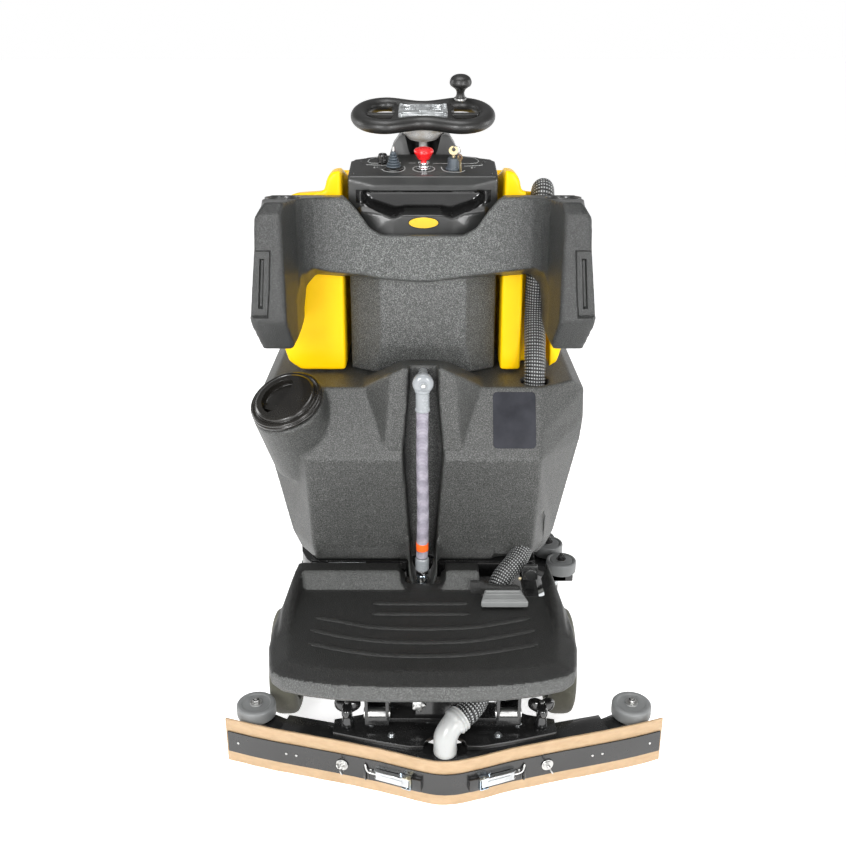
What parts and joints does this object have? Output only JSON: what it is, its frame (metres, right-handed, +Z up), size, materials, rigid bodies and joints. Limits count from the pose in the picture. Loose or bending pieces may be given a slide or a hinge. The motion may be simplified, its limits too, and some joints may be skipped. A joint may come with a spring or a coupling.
{
  "type": "stand-on scrubber drier",
  "caption": "Stand-on floor scrubber drier: black solution tank, yellow recovery tank, rear platform between side supports, waisted steering wheel, twin disc deck and V squeegee.",
  "frame": {"origin": "middle of the footprint of the whole machine, on the floor", "axes": "+Z up, +Y forward (direction of travel), +X to the operator's right"},
  "size_m": [0.86, 1.3046, 1.2646],
  "materials": {
    "black_body": "speckled rotomoulded satin",
    "black_smooth": "smooth satin",
    "yellow_body": "gloss",
    "grey_plastic": "satin",
    "zinc": "satin",
    "black_steel": "satin powder coat",
    "tyre": "matt",
    "blade": "matt",
    "bristle": "bristle",
    "red": "gloss",
    "hose_clear": "clear ringed",
    "hose_black": "ribbed",
    "battery": "matt"
  },
  "bodies": {
    "base": {"chassis_frame": "black_steel", "rear_axle": "zinc", "solution_tank": "black_body", "recovery_tank": "yellow_body", "knee_panel": "black_body", "side_bolster": "black_body", "console_housing": "black_smooth", "column_cowl": "black_smooth", "platform": "black_body", "sight_hose": "hose_clear", "sight_hose_elbow": "grey_plastic", "sight_hose_fitting": "zinc", "vacuum_hose_upper": "hose_black", "vacuum_hose_lower": "hose_black", "battery_pack": "battery", "vacuum_motor": "zinc", "key_switch": "black_smooth", "estop_collar": "zinc", "front_bumper": "black_smooth"},
    "rear_wheel_left": {"rear_wheel_left": "tyre"},
    "rear_wheel_right": {"rear_wheel_right": "tyre"},
    "front_fork": {"drive_fork": "black_steel"},
    "drive_wheel": {"drive_tyre": "tyre", "drive_hub_motor": "zinc"},
    "steering": {"steering_wheel": "black_smooth", "wheel_hub_cover": "grey_plastic", "hub_bowl": "zinc"},
    "spinner": {"spinner_knob": "black_smooth"},
    "column_shaft": {"steering_shaft": "zinc"},
    "tank_lid": {"recovery_lid": "yellow_body"},
    "stop_button": {"estop_button": "red"},
    "key": {"ignition_key": "zinc"},
    "lever": {"lever_boot": "hose_black"},
    "dial": {"speed_dial": "black_smooth"},
    "pedal": {"foot_pedal": "grey_plastic"},
    "cap": {"filler_cap": "black_smooth"},
    "drain": {"drain_plug": "black_smooth"},
    "deck": {"deck_housing": "black_steel", "brush_motor_left": "zinc", "brush_motor_right": "zinc"},
    "brush_left": {"scrub_brush_left": "bristle"},
    "brush_right": {"scrub_brush_right": "bristle"},
    "roller_rear": {"deck_roller_rear": "grey_plastic"},
    "roller_front": {"deck_roller_front": "grey_plastic"},
    "lift": {"lift_arm": "black_steel"},
    "adjuster": {"adjust_knob": "zinc"},
    "squeegee": {"yoke_plate": "black_steel", "squeegee_body": "black_steel", "squeegee_blade_rear": "blade", "squeegee_blade_front": "blade", "squeegee_strap": "black_steel", "squeegee_elbow": "grey_plastic"},
    "bumper_left": {"squeegee_wheel_left": "grey_plastic"},
    "bumper_right": {"squeegee_wheel_right": "grey_plastic"},
    "knob_left": {"wing_knob_left": "black_smooth"},
    "knob_right": {"wing_knob_right": "black_smooth"},
    "latch_left": {"latch_left": "zinc"},
    "latch_right": {"latch_right": "zinc"},
    "screw_left": {"thumbscrew_left": "zinc"},
    "screw_right": {"thumbscrew_right": "zinc"}
  },
  "joints": [
    {"name": "rear_wheel_left_spin", "type": "hinge", "parent": "base", "child": "rear_wheel_left", "pos_m": [-0.327, -0.3385, 0.11], "axis": [1, 0, 0], "continuous": true},
    {"name": "rear_wheel_right_spin", "type": "hinge", "parent": "base", "child": "rear_wheel_right", "pos_m": [0.244, -0.3385, 0.11], "axis": [1, 0, 0], "continuous": true},
    {"name": "front_steer", "type": "hinge", "parent": "base", "child": "front_fork", "pos_m": [-0.0415, 0.4765, 0.3], "axis": [0, 0, 1], "range_deg": [-75, 75]},
    {"name": "drive_wheel_spin", "type": "hinge", "parent": "front_fork", "child": "drive_wheel", "pos_m": [-0.0415, 0.4765, 0.125], "axis": [1, 0, 0], "continuous": true},
    {"name": "column_shaft_turn", "type": "hinge", "parent": "base", "child": "column_shaft", "pos_m": [-0.0415, 0.1565, 0.3], "axis": [0, 0, 1], "range_deg": [-90, 90]},
    {"name": "steering_wheel_turn", "type": "hinge", "parent": "base", "child": "steering", "pos_m": [-0.0415, 0.1325, 1.182], "axis": [0, -0.2079, 0.9781], "range_deg": [-90, 90]},
    {"name": "spinner_knob_spin", "type": "hinge", "parent": "steering", "child": "spinner", "pos_m": [0.0415, 0.20519, 1.21279], "axis": [0, -0.2079, 0.9781], "continuous": true},
    {"name": "recovery_lid_open", "type": "hinge", "parent": "base", "child": "tank_lid", "pos_m": [-0.0415, 0.5365, 0.98664], "axis": [-1, 0, 0], "range_deg": [0, 85]},
    {"name": "estop_press", "type": "slide", "parent": "base", "child": "stop_button", "axis": [0, 0.1483, -0.9889], "range_m": [0, 0.006], "stiffness_N_per_m": 400, "springref_m": -0.004},
    {"name": "key_turn", "type": "hinge", "parent": "base", "child": "key", "pos_m": [0.0215, -0.0055, 1.0862], "axis": [0, -0.1483, 0.9889], "range_deg": [-90, 0]},
    {"name": "lever_tilt", "type": "hinge", "parent": "base", "child": "lever", "pos_m": [-0.1025, -0.0055, 1.0862], "axis": [1, 0, 0], "range_deg": [-10, 10], "stiffness_Nm_per_rad": 2},
    {"name": "speed_dial_turn", "type": "hinge", "parent": "base", "child": "dial", "pos_m": [-0.1265, 0.0385, 1.0928], "axis": [0, -0.1483, 0.9889], "range_deg": [-135, 135]},
    {"name": "foot_pedal_press", "type": "hinge", "parent": "base", "child": "pedal", "pos_m": [0.124, -0.3265, 0.2665], "axis": [1, 0, 0], "range_deg": [0, 5], "stiffness_Nm_per_rad": 20, "springref_deg": -1.72},
    {"name": "filler_cap_lift", "type": "slide", "parent": "base", "child": "cap", "axis": [-0.2599, -0.4198, 0.8696], "range_m": [0, 0.06]},
    {"name": "drain_plug_pull", "type": "slide", "parent": "base", "child": "drain", "axis": [0, -1, 0], "range_m": [0, 0.03]},
    {"name": "deck_lift", "type": "slide", "parent": "base", "child": "deck", "axis": [0, 0, 1], "range_m": [0, 0.045]},
    {"name": "brush_left_spin", "type": "hinge", "parent": "deck", "child": "brush_left", "pos_m": [-0.1795, 0.0765, 0], "axis": [0, 0, 1], "continuous": true},
    {"name": "brush_right_spin", "type": "hinge", "parent": "deck", "child": "brush_right", "pos_m": [0.1305, 0.0765, 0], "axis": [0, 0, 1], "continuous": true},
    {"name": "deck_roller_rear_spin", "type": "hinge", "parent": "deck", "child": "roller_rear", "pos_m": [0.2835, -0.0595, 0.165], "axis": [0, 0, 1], "continuous": true},
    {"name": "deck_roller_front_spin", "type": "hinge", "parent": "deck", "child": "roller_front", "pos_m": [0.2625, 0.0245, 0.165], "axis": [0, 0, 1], "continuous": true},
    {"name": "squeegee_lift", "type": "hinge", "parent": "base", "child": "lift", "pos_m": [0, -0.2635, 0.2], "axis": [-1, 0, 0], "range_deg": [0, 4.8], "deforming": ["vacuum_hose_lower"]},
    {"name": "adjust_knob_spin", "type": "hinge", "parent": "lift", "child": "adjuster", "pos_m": [-0.0495, -0.5495, 0.163], "axis": [0, 1, 0], "continuous": true},
    {"name": "squeegee_swing", "type": "hinge", "parent": "lift", "child": "squeegee", "pos_m": [0, -0.5335, 0.105], "axis": [0, 0, 1], "range_deg": [0, 8]},
    {"name": "bumper_left_spin", "type": "hinge", "parent": "squeegee", "child": "bumper_left", "pos_m": [-0.373, -0.4885, 0.1], "axis": [0, 0, 1], "continuous": true},
    {"name": "bumper_right_spin", "type": "hinge", "parent": "squeegee", "child": "bumper_right", "pos_m": [0.373, -0.4885, 0.1], "axis": [0, 0, 1], "continuous": true},
    {"name": "wing_knob_left_spin", "type": "hinge", "parent": "squeegee", "child": "knob_left", "pos_m": [-0.1865, -0.5535, 0.11], "axis": [0, 0, 1], "continuous": true},
    {"name": "wing_knob_right_spin", "type": "hinge", "parent": "squeegee", "child": "knob_right", "pos_m": [0.1855, -0.5535, 0.11], "axis": [0, 0, 1], "continuous": true},
    {"name": "latch_left_open", "type": "hinge", "parent": "squeegee", "child": "latch_left", "pos_m": [-0.06711, -0.64467, 0.047], "axis": [0, 0, 1], "range_deg": [0, 100]},
    {"name": "latch_right_open", "type": "hinge", "parent": "squeegee", "child": "latch_right", "pos_m": [0.06711, -0.64467, 0.047], "axis": [0, 0, -1], "range_deg": [0, 100]},
    {"name": "thumbscrew_left_spin", "type": "hinge", "parent": "squeegee", "child": "screw_left", "pos_m": [-0.19618, -0.59354, 0.05], "axis": [-0.2809, -0.9597, 0], "continuous": true},
    {"name": "thumbscrew_right_spin", "type": "hinge", "parent": "squeegee", "child": "screw_right", "pos_m": [0.19618, -0.59354, 0.05], "axis": [0.2809, -0.9597, 0], "continuous": true}
  ],
  "couplings": [
    {"joint": "column_shaft_turn", "follows": "front_steer", "ratio": 1.2},
    {"joint": "steering_wheel_turn", "follows": "front_steer", "ratio": 1.2}
  ]
}
